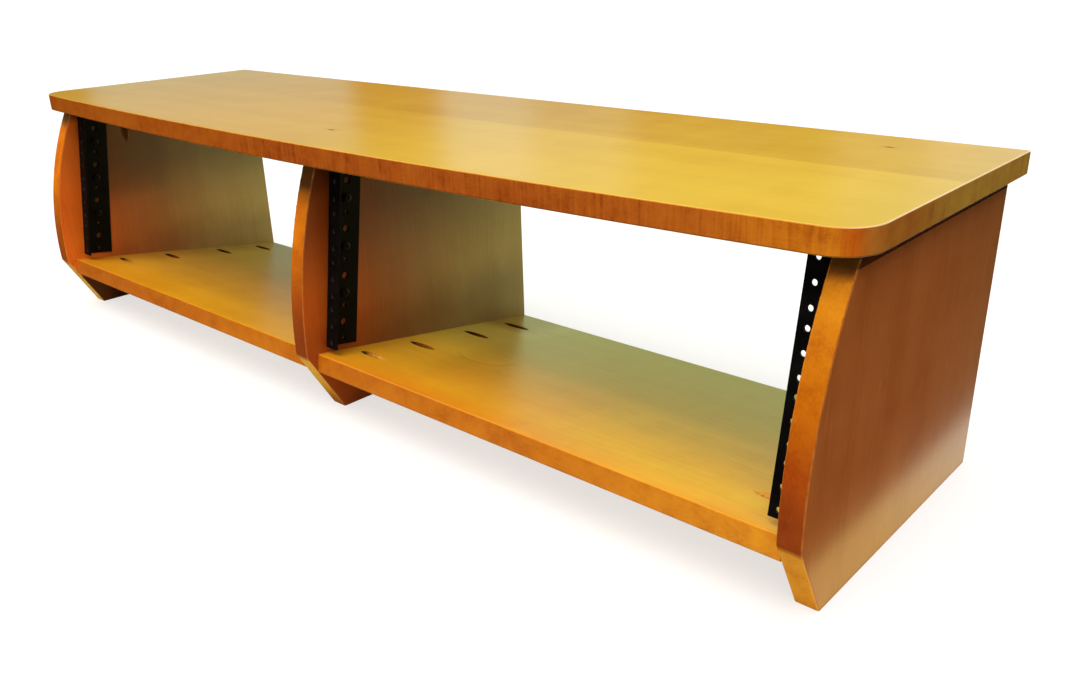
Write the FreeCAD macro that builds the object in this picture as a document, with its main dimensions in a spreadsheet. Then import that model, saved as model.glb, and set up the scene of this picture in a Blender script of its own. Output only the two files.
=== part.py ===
import FreeCAD, Part
import math
import os
import Sketcher
from FreeCAD import Placement, Rotation, Vector

# A desktop cabinet with two bays side by side for rack-width equipment.
# Six stained boards (three uprights, two sloping shelves, a bowed top) are
# butt-joined with screws in slanted pocket holes, and each bay carries a pair
# of folded steel rails. Millimetres. The front faces -Y and +Z is up; the
# origin is on the ground, under the middle of the whole object.

os.makedirs("parts", exist_ok=True)

doc = FreeCAD.newDocument("desk_rack")

# ---------------------------------------------------------------- dimensions
DIMS = [
    # carcass
    ("board", 18.0),            # thickness of every board
    ("bay_width", 485.0),       # clear width of one bay, board to board
    ("carcass_top", 245.0),     # height of the uprights
    ("mid_depth", 140.6),       # from the shelf's front edge to the origin
    ("slope", 8.75),            # fall of the shelves towards the back, degrees
    ("shelf_lip", 62.8),        # height of the shelf's upper front edge
    ("shelf_depth", 288.5),
    ("upright_back", 286.0),    # all depths are from the shelf's front edge
    ("foot_tip", 23.5),
    ("knee_rise", 62.0),        # height of the knee in the upright's front
    ("belly_radius", 350.0),    # bowed front of the two side panels
    ("belly_depth", 339.3),
    ("belly_rise", 75.0),
    ("middle_radius", 440.0),   # the divider is a little fuller near the top
    ("middle_depth", 427.2),
    ("middle_rise", 70.0),
    ("top_overhang", 10.0),
    ("top_back", 294.0),
    ("top_front_side", 13.0),
    ("top_front_sag", 23.0),
    ("top_corner", 30.0),
    # softened edges
    ("edge_round", 1.2),
    ("back_round", 1.2),
    ("knee_round", 8.0),
    ("shelf_round", 1.4),
    # rails
    ("rail_gauge", 2.0),
    ("rail_front", 17.0),
    ("rail_side", 35.5),
    ("rail_length", 177.8),     # four rack units
    ("rail_bend", 3.2),
    ("rail_burr", 0.45),
    ("rail_setback", 7.6),      # behind the shelf's front edge, along the slope
    ("rail_setback_left", 9.8), # the left bay's pair sits a little deeper
    ("rail_lift", 6.1),         # above the shelf
    ("rack_unit", 44.45),
    ("hole_first", 6.35),
    ("hole_step", 15.875),
    ("rack_centres", 465.1),
    ("rack_hole", 4.3),
    ("wide_hole", 6.8),
    ("side_line", 20.0),
    # pocket-hole joints
    ("pocket_angle", 15.0),
    ("pocket_bore", 9.5),
    ("pocket_exit", 8.6),       # where the screw leaves the board's end
    ("pocket_seat", 16.0),      # shoulder under the screw's head
    ("pocket_run", 44.0),
    ("pilot_bore", 3.7),
    ("pilot_reach", 14.5),
    ("joint_first", 49.5),      # rows of pocket holes, from the shelf's front
    ("joint_first_in", 40.0),
    ("joint_near", 62.0),
    ("joint_far", 138.0),
    ("cap_first", 92.5),        # rows under the top
    ("cap_step", 76.0),
    ("joint_head", 8.6),
    ("joint_head_deep", 2.2),
    ("joint_shank", 3.6),
    ("joint_length", 30.0),
    ("joint_point", 5.0),
    ("joint_drive", 2.6),
    # screws that hold the rails
    ("rail_screw_head", 8.6),
    ("rail_screw_dome", 2.6),
    ("rail_screw_shank", 4.0),
    ("rail_screw_length", 10.0),
    ("rail_screw_point", 2.4),
    ("rail_pilot", 4.1),
    ("rail_pilot_deep", 8.5),
    ("cross_wide", 1.1),
    ("cross_long", 4.6),
    ("cross_deep", 1.5),
]

sheet = doc.addObject("Spreadsheet::Sheet", "dims")
VALUE = {}
for row, (alias, number) in enumerate(DIMS, start=1):
    sheet.set("A%d" % row, alias)
    sheet.set("B%d" % row, str(number))
    sheet.setAlias("B%d" % row, alias)
    VALUE[alias] = number
doc.recompute()


class Size:
    """A length with the sheet expression that drives it."""

    def __init__(self, value, text):
        self.value = float(value)
        self.text = text

    @staticmethod
    def of(other):
        return other if isinstance(other, Size) else Size(other, repr(float(other)))

    def __add__(self, other):
        other = Size.of(other)
        return Size(self.value + other.value, "(%s + %s)" % (self.text, other.text))

    def __sub__(self, other):
        other = Size.of(other)
        return Size(self.value - other.value, "(%s - %s)" % (self.text, other.text))

    def __mul__(self, other):
        other = Size.of(other)
        return Size(self.value * other.value, "(%s * %s)" % (self.text, other.text))

    def __truediv__(self, other):
        other = Size.of(other)
        return Size(self.value / other.value, "(%s / %s)" % (self.text, other.text))

    def __neg__(self):
        return Size(-self.value, "(-%s)" % self.text)


def dim(alias):
    return Size(VALUE[alias], "dims.%s" % alias)


ZERO = Size(0, "0")
slope = VALUE["slope"]


# ------------------------------------------------------------------- helpers
def new_body(label):
    body = doc.addObject("PartDesign::Body", label)
    body.Label = label
    return body


def origin_plane(body, role):
    for feature in body.Origin.OriginFeatures:
        if feature.Role == role:
            return feature
    raise RuntimeError("no plane " + role)


def new_sketch(body, name, role):
    sketch = body.newObject("Sketcher::SketchObject", name)
    sketch.AttachmentSupport = (origin_plane(body, role), [""])
    sketch.MapMode = "FlatFace"
    return sketch


def pin(sketch, geo, pos, x=None, y=None):
    """Hold a point of the sketch at sheet-driven distances from its origin."""
    for axis, size in (("X", x), ("Y", y)):
        if size is None:
            continue
        if size.text == "0":
            line = -2 if axis == "X" else -1
            sketch.addConstraint(Sketcher.Constraint("PointOnObject", geo, pos, line))
            continue
        index = sketch.addConstraint(
            Sketcher.Constraint("Distance" + axis, -1, 1, geo, pos, size.value))
        name = "d%s_%d_%d" % (axis.lower(), geo, pos)
        sketch.renameConstraint(index, name)
        sketch.setExpression("Constraints." + name, size.text)


def outline(sketch, corners):
    """A closed outline of straight sides through sheet-driven corners."""
    flat = [Vector(x.value, y.value, 0) for x, y in corners]
    count = len(flat)
    for i in range(count):
        sketch.addGeometry(Part.LineSegment(flat[i], flat[(i + 1) % count]), False)
    for i in range(count):
        sketch.addConstraint(
            Sketcher.Constraint("Coincident", i, 2, (i + 1) % count, 1))
    for i, (x, y) in enumerate(corners):
        pin(sketch, i, 1, x, y)


def circle(sketch, x, y, diameter):
    geo = sketch.addGeometry(
        Part.Circle(Vector(x.value, y.value, 0), Vector(0, 0, 1), diameter.value / 2), False)
    index = sketch.addConstraint(Sketcher.Constraint("Diameter", geo, diameter.value))
    sketch.renameConstraint(index, "bore_%d" % geo)
    sketch.setExpression("Constraints.bore_%d" % geo, diameter.text)
    pin(sketch, geo, 3, x, y)


def pad(body, sketch, length, name):
    feature = body.newObject("PartDesign::Pad", name)
    feature.Profile = sketch
    feature.setExpression("Length", length.text)
    feature.Length = length.value
    sketch.Visibility = False
    doc.recompute()
    return feature


def cut_depth(body, sketch, depth, name, reverse):
    before = body.Shape.Volume
    feature = body.newObject("PartDesign::Pocket", name)
    feature.Profile = sketch
    feature.Type = "Length"
    feature.setExpression("Length", depth.text)
    feature.Reversed = reverse
    doc.recompute()
    if body.Shape.Volume > before - 0.5:
        raise RuntimeError(name + " removed nothing")
    return feature


def find_edges(body, test):
    names = []
    for number, edge in enumerate(body.Tip.Shape.Edges, start=1):
        if test(edge):
            names.append("Edge%d" % number)
    if not names:
        raise RuntimeError("no edge found in " + body.Label)
    return names


def ease(body, edges, radius, name):
    base = body.Tip
    feature = body.newObject("PartDesign::Fillet", name)
    feature.Base = (base, edges)
    feature.setExpression("Radius", radius.text)
    doc.recompute()
    return feature


def drill(body, start, direction, bore, reach, name):
    """A round hole from a point, along a direction, bore and reach in the sheet."""
    before = body.Shape.Volume
    feature = body.newObject("PartDesign::SubtractiveCylinder", name)
    feature.setExpression("Radius", (bore / 2).text)
    feature.setExpression("Height", reach.text)
    feature.Placement = Placement(start, Rotation(Vector(0, 0, 1), direction))
    doc.recompute()
    if body.Shape.Volume > before - 0.5:
        raise RuntimeError(name + " removed nothing")
    return feature


def span(edge):
    box = edge.BoundBox
    return box.XLength, box.YLength, box.ZLength


def near(a, b, slack=0.05):
    return abs(a - b) < slack


# The slope's own frame: along is measured back from the shelf's front edge,
# above is square to the shelf's upper face.
COS, SIN = math.cos(math.radians(slope)), math.sin(math.radians(slope))
TILT = Rotation(Vector(1, 0, 0), -slope)
BACK = VALUE["mid_depth"]


def sloped(across, along, above):
    """A point of the slope's frame in the object's frame."""
    return Vector(across,
                  along * COS + above * SIN - BACK,
                  VALUE["shelf_lip"] - along * SIN + above * COS)


def sloped_way(across, along, above):
    return Vector(across, along * COS + above * SIN, -along * SIN + above * COS)


HALF_BOARD = VALUE["board"] / 2
BAY = VALUE["bay_width"]
# inner faces of the uprights, left to right, as seen from the front
FACES = {
    "left_bay_left": -HALF_BOARD - BAY,
    "left_bay_right": -HALF_BOARD,
    "right_bay_left": HALF_BOARD,
    "right_bay_right": HALF_BOARD + BAY,
}
WAY_IN = {"left_bay_left": 1, "left_bay_right": -1, "right_bay_left": 1, "right_bay_right": -1}
ANGLE = math.radians(VALUE["pocket_angle"])
CAP_ROWS = [VALUE["cap_first"] + i * VALUE["cap_step"] for i in range(3)]


def setback(corner):
    return VALUE["rail_setback_left"] if corner.startswith("left_bay") else VALUE["rail_setback"]


def joint_rows(corner):
    """Where the pocket screws of one end of a shelf lie, front to back. The
    right shelf's inner row is moved forward, past the screws that come into
    the middle upright from the other side."""
    first = VALUE["joint_first_in"] if corner == "right_bay_left" else VALUE["joint_first"]
    near_step, far_step = VALUE["joint_near"], VALUE["joint_far"]
    return [first, first + near_step, first + far_step, first + near_step + far_step]


# ------------------------------------------------------------------ uprights
def make_upright(label, left_face, corners, cap_side):
    """One upright board: a bowed front, a knee and a raked foot, with pilot
    holes for the shelf and rail screws on the named faces, and slanted
    pockets along its upper edge on cap_side (-1 left face, +1 right face)."""
    body = new_body(label)
    sketch = new_sketch(body, label + "_outline", "YZ_Plane")
    top, knee = dim("carcass_top"), dim("knee_rise")
    bow = "middle" if len(corners) == 2 else "belly"
    radius, deep, rise = dim(bow + "_radius"), dim(bow + "_depth"), dim(bow + "_rise")

    def belly(z):
        return deep.value - math.sqrt(radius.value ** 2 - (z - rise.value) ** 2)

    tip = Vector(VALUE["foot_tip"], 0, 0)
    heel = Vector(VALUE["upright_back"], 0, 0)
    shoulder = Vector(VALUE["upright_back"], top.value, 0)
    brow = Vector(belly(top.value), top.value, 0)
    bend = Vector(belly(knee.value), knee.value, 0)
    centre = Vector(deep.value, rise.value, 0)
    sketch.addGeometry(Part.LineSegment(tip, heel), False)
    sketch.addGeometry(Part.LineSegment(heel, shoulder), False)
    sketch.addGeometry(Part.LineSegment(shoulder, brow), False)
    start = math.atan2(brow.y - centre.y, brow.x - centre.x)
    end = math.atan2(bend.y - centre.y, bend.x - centre.x) % (2 * math.pi)
    sketch.addGeometry(Part.ArcOfCircle(
        Part.Circle(centre, Vector(0, 0, 1), radius.value), start, end), False)
    sketch.addGeometry(Part.LineSegment(bend, tip), False)
    joins = [(0, 2, 1, 1), (1, 2, 2, 1), (2, 2, 3, 1), (3, 2, 4, 1), (4, 2, 0, 1)]
    for a, b, c, d in joins:
        sketch.addConstraint(Sketcher.Constraint("Coincident", a, b, c, d))
    index = sketch.addConstraint(Sketcher.Constraint("Radius", 3, radius.value))
    sketch.renameConstraint(index, "belly_radius")
    sketch.setExpression("Constraints.belly_radius", radius.text)
    pin(sketch, 0, 1, dim("foot_tip"), ZERO)
    pin(sketch, 1, 1, dim("upright_back"), ZERO)
    pin(sketch, 2, 1, dim("upright_back"), top)
    pin(sketch, 3, 3, deep, rise)
    pin(sketch, 3, 1, None, top)
    pin(sketch, 3, 2, None, knee)
    pad(body, sketch, dim("board"), label + "_board")

    def knee_edge(edge):
        box = edge.BoundBox
        return near(box.YMin, bend.x) and near(box.ZMin, knee.value) and near(box.XLength, VALUE["board"])

    ease(body, find_edges(body, knee_edge), dim("knee_round"), label + "_knee")

    def front_edge(edge):
        box = edge.BoundBox
        return box.XLength < 0.01 and box.ZLength > 2 and box.YMin < 60 and box.YMax < 60

    ease(body, find_edges(body, front_edge), dim("edge_round"), label + "_front_edges")

    def back_edge(edge):
        box = edge.BoundBox
        return box.XLength < 0.01 and box.ZLength > 100 and near(box.YMin, VALUE["upright_back"])

    ease(body, find_edges(body, back_edge), dim("back_round"), label + "_back_edges")

    here = Vector(left_face, -BACK, 0)
    for corner in corners:
        face = FACES[corner]
        inward = WAY_IN[corner]
        # screws come out of the shelf's end, falling at the pocket angle
        way = sloped_way(-inward * math.cos(ANGLE), 0, -math.sin(ANGLE))
        for n, row in enumerate(joint_rows(corner), start=1):
            exit_point = sloped(face, row, -VALUE["pocket_exit"])
            drill(body, exit_point - here - way * 1.0, way, dim("pilot_bore"),
                  dim("pilot_reach") + 1.0, "%s_pilot_%s_%d" % (label, corner, n))
        for n in (1, 2, 3):
            height = VALUE["hole_first"] + n * VALUE["rack_unit"]
            point = sloped(face, setback(corner) + VALUE["side_line"],
                           VALUE["rail_lift"] + height)
            way = Vector(-inward, 0, 0)
            drill(body, point - here - way * 1.0, way, dim("rail_pilot"),
                  dim("rail_pilot_deep") + 1.0, "%s_rail_pilot_%s_%d" % (label, corner, n))
    # pockets for the screws that go up into the top
    for n, row in enumerate(CAP_ROWS, start=1):
        side = VALUE["board"] if cap_side > 0 else 0.0
        mouth = Vector(side - cap_side * VALUE["pocket_exit"], row, VALUE["carcass_top"])
        down = Vector(cap_side * math.sin(ANGLE), 0, -math.cos(ANGLE))
        drill(body, mouth - down * 2.0, down, dim("pilot_bore"),
              dim("pocket_seat") + 4.0, "%s_cap_pilot_%d" % (label, n))
        drill(body, mouth + down * VALUE["pocket_seat"], down, dim("pocket_bore"),
              dim("pocket_run"), "%s_cap_pocket_%d" % (label, n))
    body.Placement = Placement(here, Rotation())
    return body


# -------------------------------------------------------------------- shelves
def make_shelf(label, bay, left_face):
    """A sloping shelf, with four slanted pocket holes at each end that lead
    its screws into the uprights."""
    body = new_body(label)
    sketch = new_sketch(body, label + "_outline", "XY_Plane")
    wide, deep = dim("bay_width"), dim("shelf_depth")
    outline(sketch, [(ZERO, ZERO), (wide, ZERO), (wide, deep), (ZERO, deep)])
    feature = pad(body, sketch, dim("board"), label + "_board")
    feature.Reversed = True
    doc.recompute()

    def front_edge(edge):
        box = edge.BoundBox
        return box.XLength > 400 and near(box.YMin, 0) and box.YLength < 0.01

    ease(body, find_edges(body, front_edge), dim("shelf_round"), label + "_front_edges")

    def back_edge(edge):
        box = edge.BoundBox
        return box.XLength > 400 and near(box.YMax, VALUE["shelf_depth"]) and box.YLength < 0.01

    ease(body, find_edges(body, back_edge), dim("back_round"), label + "_back_edges")

    for end, corner in (("left", bay + "_left"), ("right", bay + "_right")):
        inward = WAY_IN[corner]
        at = 0.0 if end == "left" else BAY
        way = Vector(inward * math.cos(ANGLE), 0, math.sin(ANGLE))
        for n, row in enumerate(joint_rows(corner), start=1):
            mouth = Vector(at, row, -VALUE["pocket_exit"])
            drill(body, mouth - way * 2.0, way, dim("pilot_bore"),
                  dim("pocket_seat") + 4.0, "%s_%s_pilot_%d" % (label, end, n))
            drill(body, mouth + way * VALUE["pocket_seat"], way, dim("pocket_bore"),
                  dim("pocket_run"), "%s_%s_pocket_%d" % (label, end, n))
    body.Placement = Placement(sloped(left_face, 0, 0), TILT)
    return body


# ------------------------------------------------------------------------ top
def make_top(label):
    """The top: bowed along the front, round at both front corners, with
    blind pilot holes under it for the screws from the uprights."""
    body = new_body(label)
    sketch = new_sketch(body, label + "_outline", "XY_Plane")
    half = dim("bay_width") + dim("board") * 1.5 + dim("top_overhang")
    side, sag, back = dim("top_front_side"), dim("top_front_sag"), dim("top_back")
    radius = (half * half + sag * sag) / (sag * 2)
    centre = side - sag + radius
    left, right = Vector(-half.value, side.value, 0), Vector(half.value, side.value, 0)
    back_right, back_left = Vector(half.value, back.value, 0), Vector(-half.value, back.value, 0)
    hub = Vector(0, centre.value, 0)
    start = math.atan2(left.y - hub.y, left.x - hub.x) % (2 * math.pi)
    end = math.atan2(right.y - hub.y, right.x - hub.x) % (2 * math.pi)
    sketch.addGeometry(Part.ArcOfCircle(
        Part.Circle(hub, Vector(0, 0, 1), radius.value), start, end), False)
    sketch.addGeometry(Part.LineSegment(right, back_right), False)
    sketch.addGeometry(Part.LineSegment(back_right, back_left), False)
    sketch.addGeometry(Part.LineSegment(back_left, left), False)
    for a, b, c, d in [(0, 2, 1, 1), (1, 2, 2, 1), (2, 2, 3, 1), (3, 2, 0, 1)]:
        sketch.addConstraint(Sketcher.Constraint("Coincident", a, b, c, d))
    pin(sketch, 1, 1, half, side)
    pin(sketch, 1, 2, half, back)
    pin(sketch, 2, 2, -half, back)
    pin(sketch, 3, 2, -half, side)
    index = sketch.addConstraint(Sketcher.Constraint("Radius", 0, radius.value))
    sketch.renameConstraint(index, "bow_radius")
    sketch.setExpression("Constraints.bow_radius", radius.text)
    pad(body, sketch, dim("board"), label + "_board")

    def front_corner(edge):
        box = edge.BoundBox
        return near(box.ZLength, VALUE["board"]) and box.XLength < 0.01 and near(box.YMin, side.value)

    ease(body, find_edges(body, front_corner), dim("top_corner"), label + "_front_corners")

    def back_corner(edge):
        box = edge.BoundBox
        return near(box.ZLength, VALUE["board"]) and box.XLength < 0.01 and near(box.YMin, back.value)

    ease(body, find_edges(body, back_corner), dim("edge_round"), label + "_back_corners")

    def rim(edge):
        box = edge.BoundBox
        return box.ZLength < 0.01 and (near(box.ZMin, 0) or near(box.ZMin, VALUE["board"]))

    ease(body, find_edges(body, rim), dim("edge_round"), label + "_rims")

    here = Vector(0, -BACK, VALUE["carcass_top"])
    for name, left_face, cap_side in UPRIGHTS:
        side_x = left_face + (VALUE["board"] if cap_side > 0 else 0.0)
        for n, row in enumerate(CAP_ROWS, start=1):
            mouth = Vector(side_x - cap_side * VALUE["pocket_exit"], row, 0)
            way = Vector(-cap_side * math.sin(ANGLE), 0, math.cos(ANGLE))
            drill(body, mouth - way * 1.0, way, dim("pilot_bore"),
                  dim("pilot_reach") + 1.0, "%s_pilot_%s_%d" % (label, name, n))
    body.Placement = Placement(here, Rotation())
    return body


# ---------------------------------------------------------------------- rails
def make_rail(label, corner):
    """A folded steel rail: a narrow front flange with the rack holes and a
    deep side flange that lies on the board. The right-hand rail is the same
    piece turned end for end."""
    body = new_body(label)
    sketch = new_sketch(body, label + "_section", "XY_Plane")
    gauge, front, side = dim("rail_gauge"), dim("rail_front"), dim("rail_side")
    outline(sketch, [(ZERO, ZERO), (front, ZERO), (front, gauge), (gauge, gauge),
                     (gauge, side), (ZERO, side)])
    pad(body, sketch, dim("rail_length"), label + "_strip")

    def upright_at(x, y):
        def test(edge):
            box = edge.BoundBox
            return near(box.ZLength, VALUE["rail_length"]) and near(box.XMin, x) and near(box.YMin, y) \
                and box.XLength < 0.01 and box.YLength < 0.01
        return test

    ease(body, find_edges(body, upright_at(0, 0)), dim("rail_bend"), label + "_bend_outer")
    ease(body, find_edges(body, upright_at(gauge.value, gauge.value)),
         dim("rail_bend") - dim("rail_gauge"), label + "_bend_inner")
    burrs = []
    for x, y in ((front.value, 0), (front.value, gauge.value), (0, side.value), (gauge.value, side.value)):
        burrs += find_edges(body, upright_at(x, y))
    ease(body, burrs, dim("rail_burr"), label + "_burrs")

    def end_edge(edge):
        box = edge.BoundBox
        return box.ZLength < 0.01

    ease(body, find_edges(body, end_edge), dim("rail_burr"), label + "_ends")

    # rack holes, three to a unit
    first, step, unit = dim("hole_first"), dim("hole_step"), dim("rack_unit")
    line = (dim("bay_width") - dim("rack_centres")) / 2
    rack = new_sketch(body, label + "_rack_holes", "XZ_Plane")
    for i in range(4):
        for j in range(3):
            circle(rack, line, first + unit * i + step * j, dim("rack_hole"))
    before = body.Shape.Volume
    rack.setExpression("AttachmentOffset.Base.z", "0 - dims.rail_gauge / 2")
    feature = body.newObject("PartDesign::Pocket", label + "_rack_row")
    feature.Profile = rack
    feature.Type = "Length"
    feature.Midplane = True
    feature.setExpression("Length", (dim("rail_gauge") * 2).text)
    doc.recompute()
    one = math.pi * VALUE["rack_hole"] ** 2 / 4 * VALUE["rail_gauge"]
    if abs(before - body.Shape.Volume - 12 * one) > 1.0:
        raise RuntimeError("rack holes wrong in " + label)
    # the side flange: a wide hole in the middle of each unit, small ones beside it
    flank = new_sketch(body, label + "_side_holes", "YZ_Plane")
    for i in range(4):
        for j in range(3):
            bore = dim("wide_hole") if j == 1 else dim("rack_hole")
            circle(flank, dim("side_line"), first + unit * i + step * j, bore)
    flank.setExpression("AttachmentOffset.Base.z", "dims.rail_gauge / 2")
    before = body.Shape.Volume
    feature = body.newObject("PartDesign::Pocket", label + "_side_row")
    feature.Profile = flank
    feature.Type = "Length"
    feature.Midplane = True
    feature.setExpression("Length", (dim("rail_gauge") * 2).text)
    doc.recompute()
    wide = math.pi * VALUE["wide_hole"] ** 2 / 4 * VALUE["rail_gauge"]
    if abs(before - body.Shape.Volume - 8 * one - 4 * wide) > 1.0:
        raise RuntimeError("side holes wrong in " + label)

    if WAY_IN[corner] > 0:
        foot = sloped(FACES[corner], setback(corner), VALUE["rail_lift"])
        body.Placement = Placement(foot, TILT)
    else:
        foot = sloped(FACES[corner], setback(corner), VALUE["rail_lift"] + VALUE["rail_length"])
        body.Placement = Placement(foot, TILT.multiply(Rotation(Vector(0, 1, 0), 180)))
    return body


# --------------------------------------------------------------------- screws
def frame_rotation(x_axis, y_axis, z_axis):
    matrix = FreeCAD.Matrix(
        x_axis.x, y_axis.x, z_axis.x, 0,
        x_axis.y, y_axis.y, z_axis.y, 0,
        x_axis.z, y_axis.z, z_axis.z, 0,
        0, 0, 0, 1)
    return Placement(matrix).Rotation


def make_joint_screws(label, places, axis, along):
    """Pocket-hole screws: a flat washer head with a square recess, a plain
    shank and a point. The group's screws lie in a row; places are the
    undersides of the heads, axis points from the head to the tip."""
    body = new_body(label)
    body.AllowCompound = True
    sketch = new_sketch(body, label + "_profile", "XZ_Plane")
    head, deep = dim("joint_head") / 2, dim("joint_head_deep")
    shank, length, point = dim("joint_shank") / 2, dim("joint_length"), dim("joint_point")
    outline(sketch, [
        (ZERO, -length), (shank, -(length - point)), (shank, ZERO), (head, ZERO),
        (head, deep * 0.45), (head * 0.72, deep), (ZERO, deep)])
    turn = body.newObject("PartDesign::Revolution", label + "_turned")
    turn.Profile = sketch
    turn.ReferenceAxis = (sketch, ["V_Axis"])
    turn.Angle = 360
    sketch.Visibility = False
    doc.recompute()
    drive = new_sketch(body, label + "_recess", "XY_Plane")
    half = dim("joint_drive") / 2
    outline(drive, [(-half, -half), (half, -half), (half, half), (-half, half)])
    drive.setExpression("AttachmentOffset.Base.z", "dims.joint_head_deep")
    cut_depth(body, drive, dim("joint_head_deep") * 0.8, label + "_square", False)
    steps = [(place - places[0]).dot(along) for place in places]
    arrange(body, label, turn, steps)
    body.Placement = Placement(places[0], frame_rotation(along.cross(axis * -1), along, axis * -1))
    return body


def make_rail_screws(label, places, axis, along):
    """Black domed screws with a cross recess that hold a rail to its board."""
    body = new_body(label)
    body.AllowCompound = True
    sketch = new_sketch(body, label + "_profile", "XZ_Plane")
    head, dome = dim("rail_screw_head") / 2, dim("rail_screw_dome")
    shank, length, point = dim("rail_screw_shank") / 2, dim("rail_screw_length"), dim("rail_screw_point")
    outline(sketch, [
        (ZERO, -length), (shank, -(length - point)), (shank, ZERO), (head, ZERO),
        (head, dome * 0.34), (head * 0.86, dome * 0.72), (head * 0.58, dome * 0.94), (ZERO, dome)])
    turn = body.newObject("PartDesign::Revolution", label + "_turned")
    turn.Profile = sketch
    turn.ReferenceAxis = (sketch, ["V_Axis"])
    turn.Angle = 360
    sketch.Visibility = False
    doc.recompute()
    drive = new_sketch(body, label + "_recess", "XY_Plane")
    thin, far = dim("cross_wide") / 2, dim("cross_long") / 2
    outline(drive, [
        (thin, thin), (thin, far), (-thin, far), (-thin, thin), (-far, thin), (-far, -thin),
        (-thin, -thin), (-thin, -far), (thin, -far), (thin, -thin), (far, -thin), (far, thin)])
    drive.setExpression("AttachmentOffset.Base.z", "dims.rail_screw_dome")
    cut_depth(body, drive, dim("cross_deep"), label + "_cross", False)
    steps = [(place - places[0]).dot(along) for place in places]
    arrange(body, label, turn, steps)
    body.Placement = Placement(places[0], frame_rotation(along.cross(axis * -1), along, axis * -1))
    return body


def arrange(body, label, first, steps):
    """Repeat a finished screw along the row, at the given distances."""
    features = [f for f in body.Group
                if f.TypeId in ("PartDesign::Revolution", "PartDesign::Pocket")]
    axis = None
    for feature in body.Origin.OriginFeatures:
        if feature.Role == "Y_Axis":
            axis = feature
    count = len(steps)
    if count == 4:
        runs = [(steps[1], 2), (steps[2], 2)]
    else:
        runs = [(steps[-1], count)]
    multi = body.newObject("PartDesign::MultiTransform", label + "_row")
    multi.Originals = features
    parts = []
    for number, (length, times) in enumerate(runs, start=1):
        pattern = body.newObject("PartDesign::LinearPattern", "%s_step_%d" % (label, number))
        pattern.Direction = (axis, [""])
        pattern.Length = abs(length)
        pattern.Reversed = length < 0
        pattern.Occurrences = times
        parts.append(pattern)
    multi.Transformations = parts
    body.Tip = multi
    doc.recompute()
    if len(body.Shape.Solids) != count:
        raise RuntimeError("%s has %d screws, not %d" % (label, len(body.Shape.Solids), count))


# ---------------------------------------------------------------- the object
# label, x of the left face, side on which the pockets to the top are drilled
UPRIGHTS = [
    ("left_side_panel", FACES["left_bay_left"] - VALUE["board"], +1),
    ("centre_divider", -HALF_BOARD, -1),
    ("right_side_panel", FACES["right_bay_right"], -1),
]
CORNERS = {
    "left_side_panel": ["left_bay_left"],
    "centre_divider": ["left_bay_right", "right_bay_left"],
    "right_side_panel": ["right_bay_right"],
}

nodes = []
for label, left_face, cap_side in UPRIGHTS:
    nodes.append(make_upright(label, left_face, CORNERS[label], cap_side))
nodes.append(make_shelf("left_shelf", "left_bay", FACES["left_bay_left"]))
nodes.append(make_shelf("right_shelf", "right_bay", FACES["right_bay_left"]))
nodes.append(make_top("top_panel"))

along_slope = sloped_way(0, 1, 0)
up_slope = sloped_way(0, 0, 1)
for corner in ("left_bay_left", "left_bay_right", "right_bay_left", "right_bay_right"):
    nodes.append(make_rail(corner + "_rail", corner))
    inward = WAY_IN[corner]
    places = []
    for n in (1, 2, 3):
        height = VALUE["hole_first"] + n * VALUE["rack_unit"]
        places.append(sloped(FACES[corner] + inward * VALUE["rail_gauge"],
                             setback(corner) + VALUE["side_line"],
                             VALUE["rail_lift"] + height))
    nodes.append(make_rail_screws(corner + "_rail_screws", places, Vector(-inward, 0, 0), up_slope))
    way = sloped_way(-inward * math.cos(ANGLE), 0, -math.sin(ANGLE))
    places = []
    for row in joint_rows(corner):
        places.append(sloped(FACES[corner], row, -VALUE["pocket_exit"]) - way * VALUE["pocket_seat"])
    nodes.append(make_joint_screws(corner + "_shelf_screws", places, way, along_slope))

for label, left_face, cap_side in UPRIGHTS:
    side_x = left_face + (VALUE["board"] if cap_side > 0 else 0.0)
    way = Vector(-cap_side * math.sin(ANGLE), 0, math.cos(ANGLE))
    places = []
    for row in CAP_ROWS:
        mouth = Vector(side_x - cap_side * VALUE["pocket_exit"], row - BACK, VALUE["carcass_top"])
        places.append(mouth - way * VALUE["pocket_seat"])
    nodes.append(make_joint_screws(label + "_top_screws", places, way, Vector(0, 1, 0)))

doc.recompute()

# ------------------------------------------------------------ check and write
for thing in doc.Objects:
    if "Invalid" in thing.State or "Error" in thing.State:
        raise RuntimeError("%s failed: %s" % (thing.Name, thing.State))
for node in nodes:
    shape = node.Shape
    if shape.isNull() or not shape.isValid():
        raise RuntimeError(node.Label + " has no valid shape")
    if len(node.Label) >= 60:
        raise RuntimeError(node.Label + " is too long a name")
for node in nodes:
    node.Shape.exportStep(os.path.join("parts", node.Label + ".step"))
    box = node.Shape.BoundBox
    print("%-32s solids %d  volume %10.1f  x %.1f..%.1f  y %.1f..%.1f  z %.1f..%.1f" % (
        node.Label, len(node.Shape.Solids), node.Shape.Volume,
        box.XMin, box.XMax, box.YMin, box.YMax, box.ZMin, box.ZMax))
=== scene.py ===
import math

import bpy
from mathutils import Matrix, Vector

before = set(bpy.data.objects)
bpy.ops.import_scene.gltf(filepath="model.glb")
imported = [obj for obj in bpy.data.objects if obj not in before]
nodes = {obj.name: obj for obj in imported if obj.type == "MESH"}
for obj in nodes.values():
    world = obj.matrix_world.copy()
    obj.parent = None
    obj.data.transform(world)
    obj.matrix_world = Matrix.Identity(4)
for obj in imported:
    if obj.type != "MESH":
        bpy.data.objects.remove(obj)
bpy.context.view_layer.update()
scene = bpy.context.scene

SLOPE = math.radians(8.75)          # fall of the shelves and lean of the rails
MM = 1000.0                         # the patterns below are written in millimetres


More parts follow.
